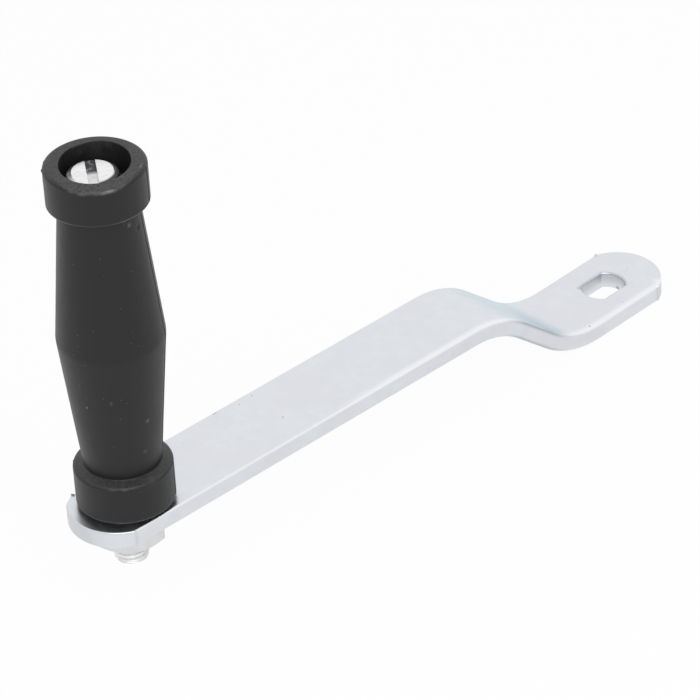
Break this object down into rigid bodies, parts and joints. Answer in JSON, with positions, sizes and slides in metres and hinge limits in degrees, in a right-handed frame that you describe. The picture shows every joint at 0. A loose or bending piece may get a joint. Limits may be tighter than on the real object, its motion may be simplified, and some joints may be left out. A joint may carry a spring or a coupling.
{
  "type": "crank handle",
  "caption": "Crank handle: a flat steel bar with one joggle, a double-D drive hole at one end and a turning black moulded grip on a slotted spindle screw at the other.",
  "frame": {"origin": "centre of the double-D drive hole on the bar's underside, the face that seats on the winch", "axes": "+Z along the drive hole's axis, up to the grip's side of the bar; the bar runs towards -X"},
  "size_m": [0.214, 0.0282, 0.1376],
  "materials": {
    "zinc_plated_bar": "bright zinc plate on hot-rolled flat bar, satin, with rolling marks and small pits",
    "bright_screw_steel": "turned steel head, bright and lightly domed",
    "zinc_plated_nut": "bright zinc plate on a forged hexagon nut",
    "zinc_plated_washer": "zinc plate, plain",
    "black_moulded_plastic": "black injection-moulded plastic, satin, with a parting line and small scuffs"
  },
  "bodies": {
    "crank": {"crank_arm": "zinc_plated_bar", "spindle_screw": "bright_screw_steel", "lock_nut": "zinc_plated_nut", "thrust_washer": "zinc_plated_washer"},
    "grip": {"grip": "black_moulded_plastic"}
  },
  "joints": [
    {"name": "grip_spin", "type": "hinge", "parent": "crank", "child": "grip", "pos_m": [-0.1796, 0, 0.03413], "axis": [0.0436, 0, 0.999], "continuous": true}
  ]
}
